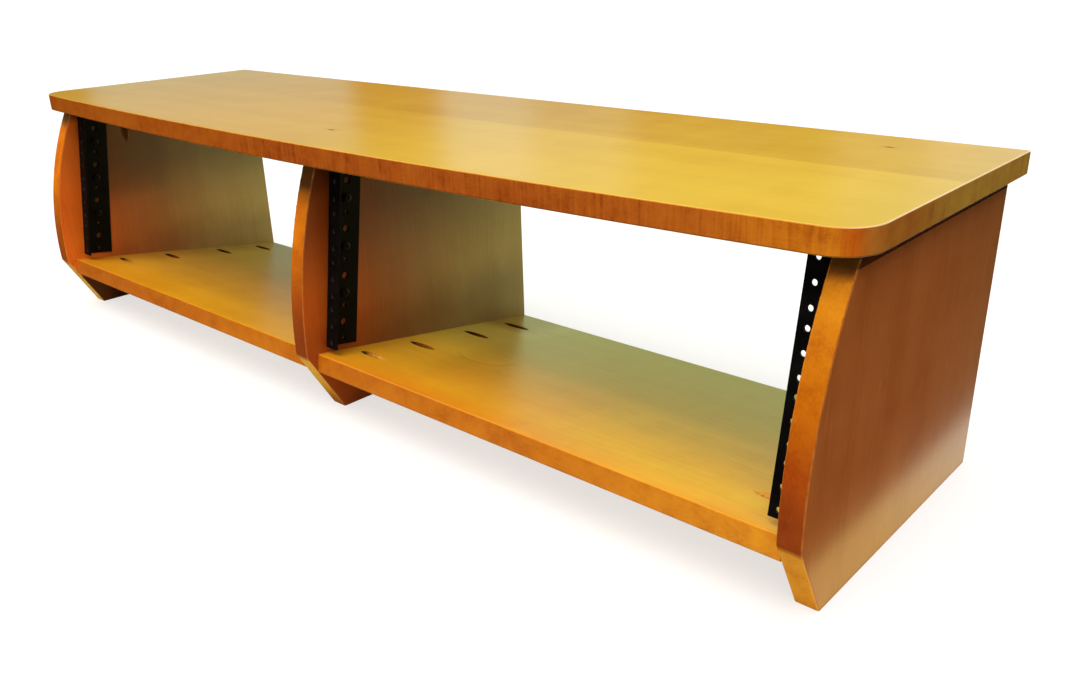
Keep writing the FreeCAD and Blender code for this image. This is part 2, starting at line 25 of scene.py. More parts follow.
# ------------------------------------------------------------------ node trees
class Graph:
    """Short calls for building a procedural material. Sockets or numbers may
    be passed wherever a value is expected."""

    def __init__(self, name, tree=None):
        self.tree = tree
        if tree is not None:
            tree.nodes.clear()
            return
        self.material = bpy.data.materials.new(name)
        self.material.use_nodes = True
        self.tree = self.material.node_tree
        self.tree.nodes.clear()
        self.output = self.tree.nodes.new("ShaderNodeOutputMaterial")
        self.shader = self.tree.nodes.new("ShaderNodeBsdfPrincipled")
        self.tree.links.new(self.shader.outputs[0], self.output.inputs[0])
        self.coords = self.tree.nodes.new("ShaderNodeTexCoord")

    def put(self, socket, value):
        if isinstance(value, bpy.types.NodeSocket):
            self.tree.links.new(value, socket)
        elif isinstance(value, (tuple, list, Vector)):
            value = list(value)
            if socket.type == "RGBA" and len(value) == 3:
                value = value + [1.0]
            socket.default_value = value
        else:
            socket.default_value = value

    def math(self, operation, a, b=None, c=None, clamp=False):
        node = self.tree.nodes.new("ShaderNodeMath")
        node.operation = operation
        node.use_clamp = clamp
        for socket, value in zip(node.inputs, (a, b, c)):
            if value is not None:
                self.put(socket, value)
        return node.outputs[0]

    def add(self, a, b):
        return self.math("ADD", a, b)

    def mul(self, a, b):
        return self.math("MULTIPLY", a, b)

    def sub(self, a, b):
        return self.math("SUBTRACT", a, b)

    def vector(self, operation, a, b=None):
        node = self.tree.nodes.new("ShaderNodeVectorMath")
        node.operation = operation
        self.put(node.inputs[0], a)
        if b is not None:
            self.put(node.inputs[3] if operation == "SCALE" else node.inputs[1], b)
        return node.outputs[1] if operation in ("LENGTH", "DISTANCE", "DOT_PRODUCT") else node.outputs[0]

    def split(self, vector):
        node = self.tree.nodes.new("ShaderNodeSeparateXYZ")
        self.put(node.inputs[0], vector)
        return node.outputs[0], node.outputs[1], node.outputs[2]

    def join(self, x, y, z):
        node = self.tree.nodes.new("ShaderNodeCombineXYZ")
        for socket, value in zip(node.inputs, (x, y, z)):
            self.put(socket, value)
        return node.outputs[0]

    def turned(self, vector, angle):
        """The vector in a frame that is turned about X."""
        node = self.tree.nodes.new("ShaderNodeVectorRotate")
        node.rotation_type = "X_AXIS"
        self.put(node.inputs["Vector"], vector)
        node.inputs["Angle"].default_value = angle
        return node.outputs[0]

    def noise(self, vector, scale=1.0, detail=2.0, rough=0.5, warp=0.0):
        node = self.tree.nodes.new("ShaderNodeTexNoise")
        node.noise_dimensions = "3D"
        self.put(node.inputs["Vector"], vector)
        node.inputs["Scale"].default_value = scale
        node.inputs["Detail"].default_value = detail
        node.inputs["Roughness"].default_value = rough
        node.inputs["Distortion"].default_value = warp
        return node.outputs[0]

    def spread(self, value, low, high, to_low=0.0, to_high=1.0, smooth=True):
        node = self.tree.nodes.new("ShaderNodeMapRange")
        node.interpolation_type = "SMOOTHSTEP" if smooth else "LINEAR"
        node.clamp = True
        for socket, number in zip(node.inputs, (value, low, high, to_low, to_high)):
            self.put(socket, number)
        return node.outputs[0]

    def mix(self, factor, a, b, mode="MIX"):
        node = self.tree.nodes.new("ShaderNodeMix")
        node.data_type = "RGBA"
        node.blend_type = mode
        node.clamp_factor = True
        self.put(node.inputs[0], factor)
        self.put(node.inputs[6], a)
        self.put(node.inputs[7], b)
        return node.outputs[2]

    def ramp(self, factor, stops):
        node = self.tree.nodes.new("ShaderNodeValToRGB")
        self.put(node.inputs[0], factor)
        elements = node.color_ramp.elements
        elements[0].position, elements[0].color = stops[0][0], list(stops[0][1]) + [1.0]
        elements[1].position, elements[1].color = stops[-1][0], list(stops[-1][1]) + [1.0]
        for position, colour in stops[1:-1]:
            new = elements.new(position)
            new.color = list(colour) + [1.0]
        return node.outputs[0]

    def bump(self, height, strength, distance, after=None):
        node = self.tree.nodes.new("ShaderNodeBump")
        node.inputs["Strength"].default_value = strength
        node.inputs["Distance"].default_value = distance
        self.put(node.inputs["Height"], height)
        if after is not None:
            self.put(node.inputs["Normal"], after)
        return node.outputs[0]

    def surface(self, colour, roughness, normal=None, **fixed):
        self.put(self.shader.inputs["Base Color"], colour)
        self.put(self.shader.inputs["Roughness"], roughness)
        if normal is not None:
            self.put(self.shader.inputs["Normal"], normal)
        for name, value in fixed.items():
            self.put(self.shader.inputs[name.replace("_", " ")], value)


def wear(nodes_named, material):
    for name in nodes_named:
        mesh = nodes[name].data
        mesh.materials.clear()
        mesh.materials.append(material)


# ------------------------------------------------------------------------ wood
def scaled(colour, share):
    return tuple(c * share for c in colour)


def maple(name, grain, face, edge, seed, tilt=0.0, inside=None, leaves=(), knots=(), inner=None,
          shade=None, edge_shade=None, figure=1.0, streaks=0.0, bars=0.0, swirl=None, gloss=0.34, rub=0.3, lip=0.0,
          end=None, behind=None, smooth=1.0, raw=1.0):
    """Stained maple under satin lacquer.

    grain says which way the board's grain runs: "X" with the face up, or "Z" with the face on X. face and edge give the
    colour as (axis, [(place, colour), ...]) in the board's own millimetres; along the board it changes partly because
    the stain takes darker in some places than in others, and partly as painted light and shade. inner is the same for
    the faces that look into a bay, with the side of X they look to. shade and edge_shade change the colour along a
    second axis, shade only where a third allows it; most shade entries paint shade, some paint light, a few change the
    stain. end is the change of the edge colour on the right-hand end, and it also lays a painted highlight along that
    end's arris; behind is the painted shade on the strips which the rails cover. figure, streaks and bars are the
    strengths of the grain, of its light flecks and of the curl that crosses the edge banding."""
    g = Graph(name)
    place = g.vector("SCALE", g.coords.outputs["Object"], MM)
    facing = g.coords.outputs["Normal"]
    if tilt:                    # along the slope from the board's front edge, above its upper face
        place = g.turned(g.vector("ADD", place, (0.0, 140.6, -62.8)), tilt)
        facing = g.turned(facing, tilt)
    x, y, z = g.split(place)
    nx, ny, nz = g.split(facing)
    if grain == "X":
        u, v, w = x, y, z
        flat = g.math("ABSOLUTE", nz)
    else:
        u, v, w = z, y, x
        flat = g.math("ABSOLUTE", nx)
    pick = {"x": x, "y": y, "z": z}
    u = g.add(u, seed * 137.0)
    v0 = v
    v = g.add(v, seed * 41.0)
    w = g.add(w, seed * 23.0)

    # slow waves in the run of the grain, and a swirl round each knot
    sway = g.noise(g.join(g.mul(u, 0.0042), g.mul(v, 0.011), g.mul(w, 0.011)), detail=2.0)
    v_grain = g.add(v, g.mul(g.sub(sway, 0.5), 34.0))
    small_sway = g.noise(g.join(g.mul(u, 0.016), g.mul(v, 0.03), g.mul(w, 0.03)), detail=1.0)
    v_grain = g.add(v_grain, g.mul(g.sub(small_sway, 0.5), 5.0))
    knot_dark = None
    for across, along, size in knots:
        d = g.vector("LENGTH", g.join(g.mul(g.sub(u, across + seed * 137.0), 0.42),
                                      g.sub(v0, along), 0.0))
        near = g.spread(d, size * 5.0, 0.0)
        v_grain = g.add(v_grain, g.mul(near, size * 2.4))
        core = g.spread(d, size * 0.75, size * 0.30)
        halo = g.spread(d, size * 2.2, size * 0.5, 0.0, 0.18)
        spot = g.math("MAXIMUM", core, halo)
        knot_dark = spot if knot_dark is None else g.math("MAXIMUM", knot_dark, spot)

    bands = g.noise(g.join(g.mul(u, 0.0013), g.mul(v_grain, 0.040), g.mul(w, 0.05)), detail=3.0, rough=0.55)
    lines = g.noise(g.join(g.mul(u, 0.0045), g.mul(v_grain, 0.42), g.mul(w, 0.42)), detail=4.0, rough=0.62)
    fibre = g.noise(g.join(g.mul(u, 0.045), g.mul(v_grain, 1.9), g.mul(w, 1.9)), detail=3.0, rough=0.6)
    dashes = g.spread(g.noise(g.join(g.mul(u, 0.075), g.mul(v_grain, 0.85), g.mul(w, 0.85)), detail=2.0, rough=0.5),
                      0.60, 0.74)
    curl = g.noise(g.join(g.mul(u, 0.045), g.mul(v, 0.010), g.mul(w, 0.010)), detail=2.0, rough=0.5)
    blotch = g.noise(g.join(g.mul(u, 0.011), g.mul(v, 0.020), g.mul(w, 0.020)), detail=4.0, rough=0.6)
    flecks = g.spread(g.noise(g.join(g.mul(u, 0.040), g.mul(v_grain, 0.26), g.mul(w, 0.26)), detail=2.0, rough=0.45, warp=0.6),
                      0.62, 0.78)

    tone = g.add(0.5, g.mul(g.sub(bands, 0.5), 0.36 * figure))
    tone = g.add(tone, g.mul(g.sub(lines, 0.5), 0.34 * figure))
    tone = g.add(tone, g.mul(g.sub(fibre, 0.5), 0.22 * figure * smooth))
    tone = g.add(tone, g.mul(g.sub(curl, 0.5), 0.22 * figure))
    tone = g.add(tone, g.mul(g.sub(blotch, 0.5), 0.55 * figure))
    tone = g.sub(tone, g.mul(dashes, 0.13 * figure * smooth))
    tone = g.add(tone, g.mul(flecks, streaks))
    for at, change in leaves:       # boards glued side by side differ a little
        tone = g.add(tone, g.mul(g.spread(v0, at - 0.5, at + 0.5, 0.0, change), g.spread(x, -200.0, 150.0, 0.7, 1.8)))
    if swirl:                       # a crescent where the grain turns round a branch
        sx, sy, size = swirl
        wobble = g.mul(g.sub(g.noise(g.join(g.mul(x, 0.05), g.mul(y, 0.05), 0.0), detail=2.0), 0.5), size * 0.25)
        ring = g.add(g.vector("LENGTH", g.join(g.sub(x, sx), g.mul(g.sub(y, sy), 1.3), 0.0)), wobble)
        side = g.mul(g.spread(g.sub(x, sx), -size * 0.9, -size * 0.3), g.spread(y, sy + size * 0.5, sy - size * 0.2))
        dark_arc = g.mul(g.spread(ring, size - 3.0, size), g.spread(ring, size + 4.0, size))
        pale_arc = g.mul(g.spread(ring, size - 11.0, size - 6.0), g.spread(ring, size - 1.0, size - 6.0))
        tone = g.add(tone, g.mul(side, g.sub(g.mul(pale_arc, 0.10), g.mul(dark_arc, 0.20))))
    if knot_dark is not None:
        tone = g.sub(tone, g.mul(knot_dark, 0.75))

    # the colour from the zone tables, partly stain and partly painted light and shade, with the grain's hue laid over
    # it
    def stain(zones, value, low, deep_hue, light_hue, soft):
        axis, stops = zones
        first, last = stops[0][0], stops[-1][0]
        along = g.math("DIVIDE", g.sub(g.add(pick[axis], soft), first), last - first)
        base = g.ramp(along, [((at - first) / (last - first), colour) for at, colour in stops])
        hue = g.ramp(value, [(0.0, scaled(low, 1 / 1.6)), (0.28, scaled(deep_hue, 1 / 1.6)),
                             (0.5, (1 / 1.6,) * 3), (0.78, scaled(light_hue, 1 / 1.6)), (1.0, scaled(light_hue, 1.12 / 1.6))])
        return g.vector("SCALE", g.vector("MULTIPLY", base, hue), 1.6)

    softly = g.mul(g.sub(blotch, 0.5), 30.0)
    hues = ((0.34, 0.22, 0.16), (0.84, 0.76, 0.70), (1.13, 1.22, 1.34))
    face_colour = stain(face, tone, *hues, softly)
    if inner:
        side, zones = inner
        inner_colour = stain(zones, tone, *hues, softly)
        looks_in = g.spread(nx, -0.1, 0.1) if side == "+" else g.spread(nx, 0.1, -0.1) if side == "-" else 1.0
        face_colour = g.mix(looks_in, face_colour, inner_colour)
    # shade: painted shade and painted light along a second axis (the shadow under the top, bay walls darker high up and
    # low down, lighter near the front), and a few plain changes of stain
    for axis, low, high, colour, *only in shade or ():
        offset = softly if abs(high - low) > 12.0 else 0.0
        shade_and_tint = g.spread(g.add(pick[axis], offset), low, high)
        if inner and inner[0] == "+":       # these shades lie on the face that looks into the bay
            shade_and_tint = g.mul(shade_and_tint, looks_in)
        for across, start, full in only:
            shade_and_tint = g.mul(shade_and_tint, g.spread(pick[across], start, full))
        face_colour = g.mix(shade_and_tint, face_colour, g.vector("MULTIPLY", face_colour, colour))

    if behind:                      # hidden strips: the rails keep the light off
        setback, side, colour = behind
        _, along, above = g.split(g.turned(g.vector("ADD", place, (0.0, 140.6, -62.8)), SLOPE))
        hidden = g.mul(g.spread(along, setback + 1.0, setback + 3.0), g.spread(along, setback + 34.5, setback + 32.5))
        hidden = g.mul(hidden, g.mul(g.spread(above, 8.0, 10.0), g.spread(above, 182.0, 180.0)))
        hidden = g.mul(hidden, g.spread(g.mul(nx, side), 0.5, 0.9))
        face_colour = g.mix(hidden, face_colour, g.vector("MULTIPLY", face_colour, colour))

    # the edge banding: the stain takes darker there, mottled, with curl across it
    mottle = g.noise(g.join(g.mul(x, 0.05), g.mul(y, 0.05), g.mul(z, 0.05)), detail=5.0, rough=0.65)
    long_mottle = g.noise(g.join(g.mul(u, 0.012), g.mul(v, 0.03), g.mul(w, 0.03)), detail=2.0, rough=0.5)
    grit = g.noise(g.join(g.mul(u, 0.28), g.mul(v, 0.9), g.mul(w, 0.9)), detail=3.0, rough=0.6)
    e_tone = g.add(0.5, g.mul(g.sub(mottle, 0.5), 0.92))
    e_tone = g.add(e_tone, g.mul(g.sub(long_mottle, 0.5), 0.45))
    e_tone = g.add(e_tone, g.mul(g.sub(grit, 0.5), 0.50))
    if bars:
        bar = g.noise(g.join(g.mul(x, 0.33), g.mul(y, 0.33), g.mul(z, 0.020)), detail=5.0, rough=0.66, warp=0.2)
        bars = g.spread(nx, 0.6, 0.9, bars, 0.3 * bars)
        e_tone = g.add(e_tone, g.mul(g.mul(g.sub(bar, 0.5), bars), g.spread(x, -350.0, 150.0, 0.25, 1.0)))
    edge_colour = stain(edge, e_tone, (0.45, 0.30, 0.25), (0.80, 0.68, 0.62), (1.14, 1.28, 1.32), 0.0)
    if grain == "Z":                # the back edges have no knee: one stain from foot to top
        plain = stain(("z", [(0.0, (0.60, 0.185, 0.0080)), (245.0, (0.58, 0.165, 0.0070))]), e_tone,
                      (0.45, 0.30, 0.25), (0.80, 0.68, 0.62), (1.14, 1.28, 1.32), 0.0)
        edge_colour = g.mix(g.spread(ny, 0.25, 0.6), edge_colour, plain)
    for axis, low, high, change, *only in edge_shade or ():
        shade_and_tint = g.spread(pick[axis], low, high)
        for across, start, full in only:
            shade_and_tint = g.mul(shade_and_tint, g.spread(pick[across], start, full))
        edge_colour = g.mix(shade_and_tint, edge_colour, g.vector("MULTIPLY", edge_colour, change))

    if end:
        edge_colour = g.mix(g.spread(nx, 0.66, 0.95), edge_colour, g.vector("MULTIPLY", edge_colour, end))
    if lip:                         # hardly any light gets under the lower arris
        edge_colour = g.mix(g.spread(nz, -0.12, -0.45, 0.0, lip), edge_colour, (0.02, 0.010, 0.004))
    on_edge = g.spread(flat, 0.80, 0.55)
    colour = g.mix(on_edge, face_colour, edge_colour)
    # lighter along the softened arrises: partly the stain worn thin there, partly a painted highlight
    ragged = g.noise(g.join(g.mul(x, 0.12), g.mul(y, 0.12), g.mul(z, 0.12)), detail=4.0, rough=0.7)
    arris = g.mul(g.spread(flat, 0.985, 0.80), g.spread(flat, 0.20, 0.45))
    if grain == "X":                # the lower arrises face away from the light, so they get little of this lighter line
        arris = g.mul(arris, g.spread(nz, -0.1, 0.2, 0.15, 1.0))
    worn_and_highlit = g.mul(arris, g.spread(ragged, 0.32, 0.62, 0.3, 1.0))
    colour = g.mix(g.mul(worn_and_highlit, rub), colour, (0.92, 0.52, 0.13) if grain == "X" else (0.90, 0.38, 0.045))
    # painted highlight: a pale line along the arris of the right-hand end
    if end:
        colour = g.mix(g.mul(arris, g.spread(nx, 0.30, 0.60, 0.0, 0.55)), colour, (1.0, 0.84, 0.62))

    if inside is not None:
        # walls of the bores: the stain has run in at the mouth; further down they are painted darker, and the shelves'
        # bores further back are painted darker still, all painted shade; brown scorch flecks from the drill
        deep_in = 1.0
        for axis, low, high in inside:
            deep_in = g.mul(deep_in, g.mul(g.spread(pick[axis], low, low + 0.2), g.spread(pick[axis], high, high - 0.2)))
        scorch = g.noise(g.join(g.mul(x, 0.35), g.mul(y, 0.35), g.mul(z, 0.35)), detail=3.0)
        depth = g.spread(z, -1.0, -7.5) if grain == "X" else 0.5
        bore_stain_and_shade = (0.17, 0.062, 0.014) if grain == "Z" else g.ramp(g.math("DIVIDE", y, 200.0), [(0.0, (0.92, 0.46, 0.075)), (0.26, (0.88, 0.42, 0.065)), (0.44, (0.58, 0.20, 0.026)), (0.62, (0.24, 0.075, 0.014)), (0.8, (0.15, 0.055, 0.012))])
        if raw != 1.0:
            bore_stain_and_shade = g.vector("MULTIPLY", bore_stain_and_shade, (raw, raw, raw))
        bore_colour = g.mix(depth, bore_stain_and_shade, g.vector("MULTIPLY", bore_stain_and_shade, (0.32, 0.22, 0.20)))
        bore_colour = g.mix(g.spread(scorch, 0.46, 0.70, 0.0, 0.5), bore_colour, g.vector("MULTIPLY", bore_stain_and_shade, (0.30, 0.20, 0.18)))
        colour = g.mix(deep_in, colour, bore_colour)
    else:
        deep_in = 0.0

    skin = g.noise(g.join(g.mul(x, 0.09), g.mul(y, 0.09), g.mul(z, 0.09)), detail=2.0)
    roughness = g.add(gloss, g.mul(g.sub(skin, 0.5), 0.06 * smooth))
    roughness = g.add(roughness, g.mul(worn_and_highlit, 0.04))
    roughness = g.add(roughness, g.mul(g.sub(blotch, 0.5), 0.05 * smooth))
    roughness = g.add(roughness, g.mul(deep_in, 0.45))
    normal = None
    if smooth:                      # the top is filled and flatted: only the skin of the lacquer waves a little
        normal = g.bump(lines, 0.06 * smooth * smooth, 0.00018)
        normal = g.bump(fibre, 0.045 * smooth, 0.00008, normal)
        normal = g.bump(g.math("MULTIPLY", dashes, -1.0), 0.05 * smooth, 0.00008, normal)
    normal = g.bump(skin, 0.06 * max(smooth, 0.25), 0.0007, normal)
    g.surface(colour, roughness, normal, IOR=1.50, Coat_Weight=0.0)
    return g.material


# Colour tables in the boards' own millimetres. The top's face goes from deeper orange at the left end to paler yellow
# at the right. The edges are darker than the faces: partly the banding takes the stain darker, partly painted shade.
FACE_TOP = ("x", [(-522.0, (0.63, 0.357, 0.037)), (-304.0, (0.675, 0.365, 0.034)), (-154.0, (0.705, 0.380, 0.035)), (0.0, (0.722, 0.405, 0.038)), (121.0, (0.756, 0.458, 0.044)),
                  (200.0, (0.785, 0.478, 0.047)), (319.0, (0.785, 0.502, 0.048)), (465.0, (0.785, 0.520, 0.052)), (522.0, (0.70, 0.475, 0.055))])
EDGE_TOP = ("x", [(-522.0, (0.51, 0.124, 0.0085)), (150.0, (0.46, 0.100, 0.0082)), (300.0, (0.47, 0.105, 0.0084)), (420.0, (0.52, 0.124, 0.0084)), (480.0, (0.66, 0.190, 0.0068)), (522.0, (0.69, 0.208, 0.0066))])
# The shelves' tops: golden at the front, olive towards the back. The olive is painted light, standing for cool light
# from behind over the stain.
FACE_SHELF = ("y", [(0.0, (0.80, 0.300, 0.0090)), (35.0, (0.82, 0.405, 0.0145)), (70.0, (0.81, 0.440, 0.0180)), (115.0, (0.77, 0.475, 0.022)), (180.0, (0.545, 0.385, 0.034)), (290.0, (0.36, 0.285, 0.036))])
FACE_SHELF_LEFT = ("y", [(0.0, (0.73, 0.330, 0.0058)), (35.0, (0.77, 0.375, 0.0105)), (115.0, (0.73, 0.390, 0.044)), (180.0, (0.58, 0.405, 0.060)), (290.0, (0.48, 0.370, 0.058))])
EDGE_SHELF = ("x", [(-494.0, (0.50, 0.130, 0.0060)), (-100.0, (0.57, 0.160, 0.0026)), (20.0, (0.555, 0.152, 0.0025)), (300.0, (0.575, 0.170, 0.0025)), (490.0, (0.69, 0.255, 0.0045))])
FACE_SIDE = ("y", [(-150.0, (0.505, 0.130, 0.023)), (0.0, (0.515, 0.143, 0.029)), (150.0, (0.48, 0.156, 0.038))])
# The front edges of the uprights: painted light and shade over the stain. Darker and redder from the belly down to the
# knee, painted shade where the bowed edge turns down from the light, with a redder stain; pale on the foot of the side
# panels, painted light from the floor; the divider's foot painted dark as shadow; near black just under the top,
# painted shadow of the overhang.
EDGE_SIDE = ("z", [(0.0, (0.84, 0.350, 0.026)), (56.0, (0.84, 0.360, 0.030)), (62.0, (0.29, 0.045, 0.0025)), (80.0, (0.29, 0.048, 0.0025)),
                   (113.0, (0.43, 0.072, 0.0030)), (163.0, (0.61, 0.163, 0.0030)), (227.0, (0.72, 0.250, 0.0035)), (232.5, (0.20, 0.062, 0.0030)), (236.0, (0.06, 0.022, 0.0030)), (245.0, (0.10, 0.035, 0.0025))])
EDGE_DIVIDER = ("z", [(0.0, (0.46, 0.130, 0.008)), (30.0, (0.78, 0.380, 0.028)), (46.0, (0.97, 0.545, 0.070)), (57.0, (0.96, 0.510, 0.060)), (63.0, (0.27, 0.044, 0.0030)), (90.0, (0.32, 0.058, 0.0035)),
                      (117.0, (0.41, 0.076, 0.0040)), (150.0, (0.64, 0.160, 0.0040)), (180.0, (0.80, 0.220, 0.0030)), (203.0, (0.68, 0.180, 0.0040)), (211.0, (0.46, 0.13, 0.006)), (219.0, (0.12, 0.043, 0.007)), (245.0, (0.07, 0.030, 0.007))])
EDGE_LEFT = ("z", [(0.0, (0.94, 0.58, 0.120)), (56.0, (0.84, 0.40, 0.050)), (63.0, (0.34, 0.066, 0.0045)), (99.0, (0.42, 0.090, 0.0045)), (140.0, (0.62, 0.150, 0.0060)), (171.0, (0.91, 0.245, 0.0062)), (222.0, (0.88, 0.240, 0.0070)), (230.0, (0.30, 0.130, 0.030)), (245.0, (0.12, 0.07, 0.02))])
# The faces that look into the bays: bright orange at the front, olive further back. This is painted light: warm light
# and the shelf's glow at the front, cool light from behind at the back.
FACE_INNER = ("y", [(-150.0, (0.64, 0.120, 0.011)), (-100.0, (0.56, 0.128, 0.016)), (-62.0, (0.40, 0.130, 0.027)), (-10.0, (0.385, 0.200, 0.062)),
                    (50.0, (0.43, 0.280, 0.088)), (140.0, (0.47, 0.330, 0.108))])
FACE_INNER_LEFT = ("y", [(-150.0, (0.94, 0.170, 0.012)), (-108.0, (0.90, 0.180, 0.016)), (-76.0, (0.52, 0.135, 0.023)), (-10.0, (0.44, 0.180, 0.046)),
                         (50.0, (0.48, 0.290, 0.088)), (140.0, (0.46, 0.300, 0.090))])
# painted shade in the bay beside the divider: darker high up under the top and low down by the shelf, and dark under
# the top in front of the rail
BAY_SHADE = [("z", 110.0, 205.0, (0.45, 0.46, 0.56)), ("z", 106.0, 60.0, (0.68, 0.66, 0.68)), ("z", 203.0, 226.0, (0.42, 0.50, 0.72), ("y", -98.0, -108.0))]
# painted shadow under the top on the right panel: a soft darkening and two dark lines below the top's edge; lower down
# the colour turns less blue
SHADE_UNDER_TOP = [("z", 225.0, 236.0, (0.78, 0.76, 0.76)), ("z", 235.0, 235.9, (0.24, 0.22, 0.20), ("y", -126.0, -112.0)), ("z", 240.0, 242.0, (0.30, 0.28, 0.26)),
             ("z", 150.0, 85.0, (0.96, 0.90, 0.74))]
# painted light and shade in the left bay: darker high up and low down behind the front strip, dark just under the top
# and on the foot's inner side below the shelf, lighter low down on the front strip before the rail
LEFT_BAY_LIGHT_AND_SHADE = [("z", 95.0, 175.0, (0.40, 0.40, 0.49), ("y", -112.0, -96.0)), ("z", 150.0, 190.0, (0.88, 0.92, 0.92), ("y", 20.0, -30.0)), ("y", 12.0, -18.0, (0.74, 0.78, 0.80), ("z", 118.0, 145.0), ("y", -112.0, -96.0)),
               ("z", 140.0, 200.0, (0.97, 1.02, 1.10), ("y", -96.0, -112.0)), ("z", 112.0, 80.0, (1.12, 1.24, 1.3), ("y", -96.0, -112.0)), ("z", 44.0, 38.0, (0.13, 0.19, 0.42), ("y", -50.0, -80.0)),
               ("z", 85.0, 50.0, (0.82, 0.80, 0.82), ("y", -112.0, -96.0)), ("z", 226.0, 236.0, (0.30, 0.34, 0.5))]

wear(["top_panel"], maple(
    "maple_top", "X", FACE_TOP, EDGE_TOP, seed=0, figure=0.42, bars=1.25, end=(0.88, 1.52, 6.2),
    edge_shade=[("y", 15.0, -75.0, (0.92, 0.58, 0.50), ("x", 500.0, 515.0))],
    leaves=[(22.0, -0.085)], knots=[(-3.0, -90.0, 3.2), (433.0, 107.0, 2.6)], gloss=0.27, rub=0.35, lip=0.85, smooth=0.0))
wear(["left_shelf"], maple(
    "maple_left_shelf", "X", FACE_SHELF_LEFT, EDGE_SHELF, seed=3, tilt=SLOPE, figure=0.8, streaks=0.10,
    shade=[("x", -430.0, -494.0, (0.86, 0.78, 0.80)), ("x", -270.0, -430.0, (0.96, 0.85, 1.25), ("y", 75.0, 25.0))],
    inside=(("z", -17.7, -0.3), ("y", 3.0, 285.0)), gloss=0.38, rub=0.06, raw=0.62))
wear(["right_shelf"], maple(
    "maple_right_shelf", "X", FACE_SHELF, EDGE_SHELF, seed=5, tilt=SLOPE, figure=0.8, streaks=0.10,
    # first entry: painted light, lighter near the divider where it shades the shelf
    shade=[("x", 105.0, 60.0, (1.22, 1.24, 1.90), ("y", 40.0, 110.0)), ("x", 150.0, 290.0, (1.0, 1.02, 0.42), ("y", 120.0, 70.0)),
           ("y", 60.0, 34.0, (1.0, 1.10, 0.80), ("x", 100.0, 140.0), ("x", 420.0, 370.0)),
           # painted light near the divider again, further back
           ("x", 62.0, 34.0, (1.08, 1.20, 1.40), ("y", 110.0, 150.0), ("y", 222.0, 200.0)),
           ("x", 80.0, 130.0, (1.0, 0.87, 0.90), ("x", 310.0, 230.0), ("y", 160.0, 115.0)),
           ("x", 330.0, 480.0, (1.05, 1.24, 0.85), ("y", 60.0, 25.0)),
           # painted reflection: the dark divider mirrored in the lacquer at the back of the shelf
           ("x", 90.0, 50.0, (0.70, 0.57, 0.26), ("y", 212.0, 236.0))], swirl=(104.0, 132.0, 34.0),
    inside=(("z", -17.7, -0.3), ("y", 3.0, 285.0)), gloss=0.36, rub=0.22))
wear(["left_side_panel"], maple(
    "maple_left_side", "Z", FACE_SIDE, EDGE_LEFT, seed=7, inner=("+", FACE_INNER_LEFT), shade=LEFT_BAY_LIGHT_AND_SHADE, figure=0.9, streaks=0.10,
    rub=0.12, behind=(9.8, 1.0, (0.14, 0.18, 0.27)), inside=(("x", -511.7, -494.3), ("y", -98.0, 140.0), ("z", 195.0, 244.7))))
wear(["centre_divider"], maple(
    "maple_divider", "Z", FACE_SIDE, EDGE_DIVIDER, seed=9, inner=("both", FACE_INNER), shade=BAY_SHADE, figure=0.9, streaks=0.10,
    behind=(7.6, 1.0, (0.50, 0.52, 0.85)), inside=(("x", -8.7, 8.7), ("y", -98.0, 140.0), ("z", 195.0, 244.7))))
wear(["right_side_panel"], maple(
    "maple_right_side", "Z", FACE_SIDE, EDGE_SIDE, seed=11, inner=("-", FACE_INNER), shade=SHADE_UNDER_TOP, figure=1.0, streaks=0.26, gloss=0.22,
    inside=(("x", 494.3, 511.7), ("y", -98.0, 140.0), ("z", 195.0, 244.7))))


# ----------------------------------------------------------------------- metal
def powder_coat(name):
    g = Graph(name)
    place = g.vector("SCALE", g.coords.outputs["Object"], MM)
    peel = g.noise(place, scale=1.3, detail=2.0, rough=0.5)
    dust = g.noise(place, scale=0.05, detail=4.0, rough=0.6)
    colour = g.mix(g.spread(dust, 0.35, 0.75), (0.0028, 0.0028, 0.0031), (0.0066, 0.0064, 0.0062))
    # the tapped holes are cut after coating: bare steel on their walls, lighter than the coat; the specks this makes in
    # the holes also stand for glints on the threads, a painted highlight
    x, y, z = g.split(place)
    nx, ny, nz = g.split(g.turned(g.coords.outputs["Normal"], SLOPE))
    row = g.math("ABSOLUTE", g.sub(g.math("ABSOLUTE", g.sub(g.math("ABSOLUTE", x), 251.5)), 232.55))
    bare = g.mul(g.spread(row, 2.4, 2.2), g.spread(g.math("ABSOLUTE", ny), 0.8, 0.5))
    colour = g.mix(bare, colour, (0.032, 0.031, 0.030))
    roughness = g.add(0.50, g.mul(g.sub(dust, 0.5), 0.12))
    normal = g.bump(peel, 0.25, 0.00010)
    g.surface(colour, roughness, normal, IOR=1.16)
    return g.material


def screw_metal(name, colours, roughness, metallic, ior=1.5):
    g = Graph(name)
    place = g.vector("SCALE", g.coords.outputs["Object"], MM)
    stain = g.noise(place, scale=0.9, detail=4.0, rough=0.6)
    colour = g.mix(g.spread(stain, 0.35, 0.7), colours[0], colours[1])
    rough = g.add(roughness, g.mul(g.sub(stain, 0.5), 0.2))
    normal = g.bump(g.noise(place, scale=5.0, detail=2.0), 0.15, 0.00005)
    g.surface(colour, rough, normal, Metallic=metallic, IOR=ior)
    return g.material


black_steel = powder_coat("black_powder_coat")
black_screw = screw_metal("black_oxide", ((0.005, 0.005, 0.006), (0.012, 0.011, 0.010)), 0.40, 0.0, 1.22)
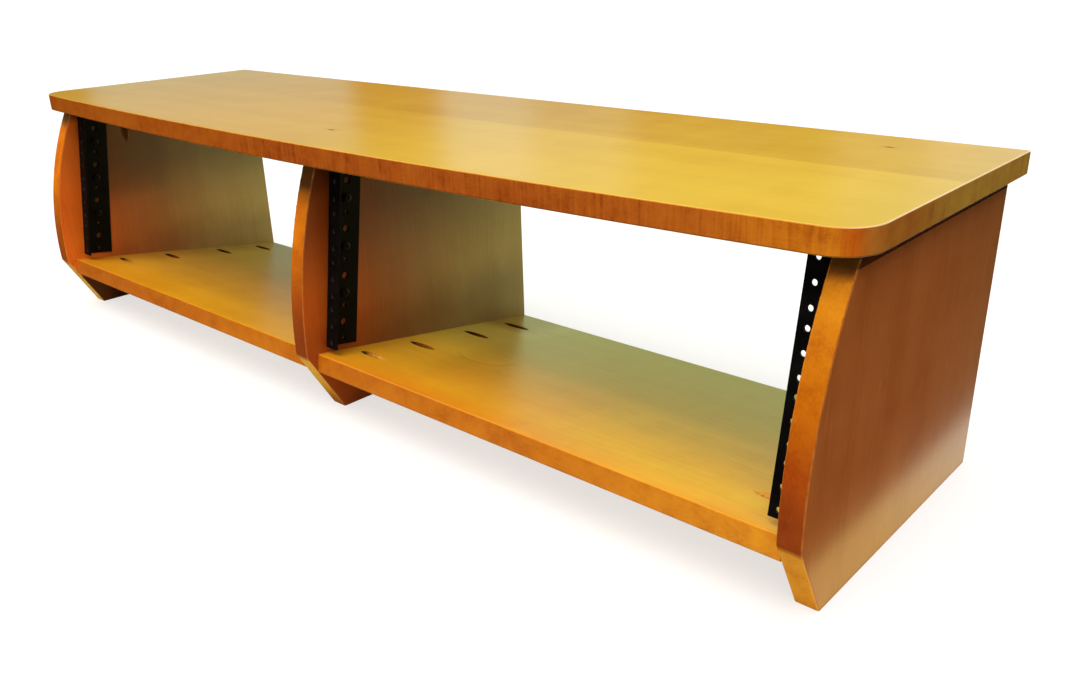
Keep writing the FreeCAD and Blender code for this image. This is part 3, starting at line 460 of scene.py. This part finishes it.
# the pocket screws are painted dark brown, darker than zinc: painted shade of the deep bores they sit in
plated_screw = screw_metal("zinc_plate", ((0.10, 0.055, 0.025), (0.05, 0.028, 0.014)), 0.55, 0.3)
for name in nodes:
    if name.endswith("_rail"):
        wear([name], black_steel)
    elif name.endswith("_rail_screws"):
        wear([name], black_screw)
    elif name.endswith("_shelf_screws") or name.endswith("_top_screws"):
        wear([name], plated_screw)


# ----------------------------------------------------------------------- stage
def plane(name, size, z):
    mesh = bpy.data.meshes.new(name)
    s = size / 2
    mesh.from_pydata([(-s, -s, z), (s, -s, z), (s, s, z), (-s, s, z)], [], [(0, 1, 2, 3)])
    piece = bpy.data.objects.new(name, mesh)
    scene.collection.objects.link(piece)
    return piece


floor = plane("floor", 60.0, 0.0)
g = Graph("pale_floor")
rays = g.tree.nodes.new("ShaderNodeLightPath")
fx, fy, fz = g.split(g.coords.outputs["Object"])
right_of = g.sub(fx, 0.512)
away = g.vector("LENGTH", g.join(g.math("MAXIMUM", g.sub(g.math("ABSOLUTE", fx), 0.522), 0.0),
                                 g.math("MAXIMUM", g.sub(g.math("ABSOLUTE", fy), 0.153), 0.0), 0.0))
# the floor beside the object throws light back on it; further off the room is dim
lit = g.spread(away, 0.04, 0.30, 0.78, 0.14)
thrown = g.mix(rays.outputs["Is Glossy Ray"], g.join(lit, lit, g.mul(lit, 0.95)), (0.0, 0.0, 0.0))
pale = g.mix(rays.outputs["Is Camera Ray"], thrown, (0.36, 0.36, 0.36))
g.surface(pale, 0.8, IOR=1.2)
# what the lacquer mirrors: a bright strip along the right side, a soft glow behind
strip = g.mul(g.spread(right_of, 0.0355, 0.023), g.spread(right_of, -0.002, 0.002))
strip = g.mul(strip, g.spread(fy, 0.75, 0.55))
strip_hue = g.mix(g.spread(fy, -0.05, 0.26), (1.19, 1.05, 0.38), (1.10, 1.18, 0.98))
glow = g.mul(g.spread(fy, 0.150, 0.22), g.spread(fx, 0.50, 0.46))
mirrored = g.vector("ADD", g.vector("MULTIPLY", g.join(strip, strip, strip), strip_hue),
                    g.vector("MULTIPLY", g.join(glow, glow, glow), (0.95, 1.05, 0.36)))
emitted = g.mix(rays.outputs["Is Glossy Ray"], (0.0, 0.0, 0.0), mirrored)
emitted = g.mix(rays.outputs["Is Camera Ray"], emitted, (0.66, 0.66, 0.66))
g.put(g.shader.inputs["Emission Color"], emitted)
g.shader.inputs["Emission Strength"].default_value = 1.0
if hasattr(g.material, "cycles"):   # mirror rays find the strip by themselves; sampling it as a lamp only adds noise
    g.material.cycles.emission_sampling = "NONE"
floor.data.materials.append(g.material)

world = bpy.data.worlds.new("studio")
scene.world = world
world.use_nodes = True
g = Graph("studio", world.node_tree)
rays = g.tree.nodes.new("ShaderNodeLightPath")
way = g.tree.nodes.new("ShaderNodeTexCoord").outputs["Generated"]
wx, wy, wz = g.split(way)
overhead = g.math("POWER", g.math("MAXIMUM", wz, 0.0), 1.6)
behind = g.spread(wy, -0.25, 0.9)
room = g.mix(behind, (0.16, 0.13, 0.10), (0.42, 0.52, 0.52))
room = g.mix(overhead, room, (0.95, 0.92, 0.86))
room = g.mix(rays.outputs["Is Glossy Ray"], room, g.mix(overhead, (0.026, 0.020, 0.008), (0.12, 0.105, 0.050)))
room = g.mix(rays.outputs["Is Camera Ray"], room, (0.95, 0.95, 0.95))
background = g.tree.nodes.new("ShaderNodeBackground")
g.put(background.inputs["Color"], room)
g.tree.links.new(background.outputs[0], g.tree.nodes.new("ShaderNodeOutputWorld").inputs[0])


def softbox(name, place, aim, width, height, watts, colour=(1.0, 1.0, 1.0), mirrored=True, lights=True):
    data = bpy.data.lights.new(name, "AREA")
    data.shape = "RECTANGLE"
    data.size, data.size_y = width, height
    data.energy = watts
    data.color = colour
    lamp = bpy.data.objects.new(name, data)
    scene.collection.objects.link(lamp)
    lamp.location = place
    lamp.rotation_mode = "QUATERNION"
    lamp.rotation_quaternion = (Vector(aim) - Vector(place)).to_track_quat("-Z", "Y")
    lamp.visible_camera = False
    lamp.visible_glossy = mirrored
    lamp.visible_diffuse = lights
    return lamp


def soft_sun(name, come_from, strength, angle, colour=(1.0, 1.0, 1.0)):
    data = bpy.data.lights.new(name, "SUN")
    data.energy = strength
    data.angle = math.radians(angle)
    data.color = colour
    lamp = bpy.data.objects.new(name, data)
    scene.collection.objects.link(lamp)
    lamp.rotation_mode = "QUATERNION"
    lamp.rotation_quaternion = (-Vector(come_from)).to_track_quat("-Z", "Y")
    lamp.visible_glossy = False
    return lamp


soft_sun("key", (0.12, -0.50, 1.25), 2.35, 46.0, (1.0, 0.965, 0.90))
softbox("front_fill", (0.3, -2.4, 1.1), (0.0, 0.0, 0.15), 1.8, 1.2, 14.0, (1.0, 0.90, 0.74), mirrored=False)
# low behind the bays: cool light that comes in over the shelves' back edges
softbox("low_back", (0.0, 0.52, 0.135), (0.0, 0.0, 0.10), 0.95, 0.23, 0.78, (0.80, 0.98, 0.46))
# a small panel for the arris along the top's right end
softbox("rim_glow", (1.05, 2.6, 1.15), (0.5, 0.1, 0.26), 0.65, 0.70, 6.0, (1.0, 0.90, 0.78), lights=False)
# tall soft panels behind, whose reflections lie on the lacquer of the top
EYE = Vector((0.7316, -0.6275, 0.0))
PANELS = ((59.2, 13.6, 0.48, 0.88, 1.75, (0.34, 0.82, 1.0)), (44.85, 5.3, 1.2, 1.8, 1.33, (0.42, 0.84, 1.0)), (39.35, 5.7, 1.2, 1.8, 0.72, (0.42, 0.84, 1.0)),
          (32.2, 8.5, 1.2, 1.8, 0.12, (0.60, 0.90, 1.0)), (22.5, 5.0, 1.2, 1.8, 0.42, (0.78, 0.92, 1.0)), (17.5, 5.0, 1.2, 1.8, 1.10, (0.78, 0.92, 1.0)),
          (11.5, 7.0, 1.2, 1.8, 3.1, (0.78, 0.92, 1.0)))
for n, (heading, width, middle, tall, watts, hue) in enumerate(PANELS, start=1):
    turn = math.radians(heading)
    place = EYE + Vector((-math.sin(turn), math.cos(turn), 0.0)) * 4.0 + Vector((0, 0, middle))
    softbox("panel_%d" % n, place, EYE + Vector((0, 0, 0.5 * middle)), 4.0 * math.radians(width), tall, watts, hue)

# ---------------------------------------------------------------------- camera
AZIMUTH, ELEVATION, ROLL = 0.7321, -0.3955, -0.0252
FOCAL, CENTRE_X, CENTRE_Y = 971.0264, 543.8749, 354.5726     # pixels of a 1080 x 693 frame
ahead = Vector((-math.sin(AZIMUTH) * math.cos(ELEVATION), math.cos(AZIMUTH) * math.cos(ELEVATION), math.sin(ELEVATION)))
right = ahead.cross(Vector((0, 0, 1))).normalized()
up = right.cross(ahead)
right, up = (right * math.cos(ROLL) + up * math.sin(ROLL), -right * math.sin(ROLL) + up * math.cos(ROLL))
camera = bpy.data.objects.new("camera", bpy.data.cameras.new("camera"))
scene.collection.objects.link(camera)
camera.data.sensor_width = 36.0
camera.data.lens = FOCAL * 36.0 / 1080.0
camera.data.shift_x = (540.0 - CENTRE_X) / 1080.0
camera.data.shift_y = (CENTRE_Y - 346.5) / 1080.0
camera.data.clip_start = 0.01
pose = Matrix((right, up, -ahead)).transposed().to_4x4()
pose.translation = Vector((0.7315734, -0.6275399, 0.4093573))
camera.matrix_world = pose
scene.camera = camera
scene.view_settings.view_transform = "Standard"
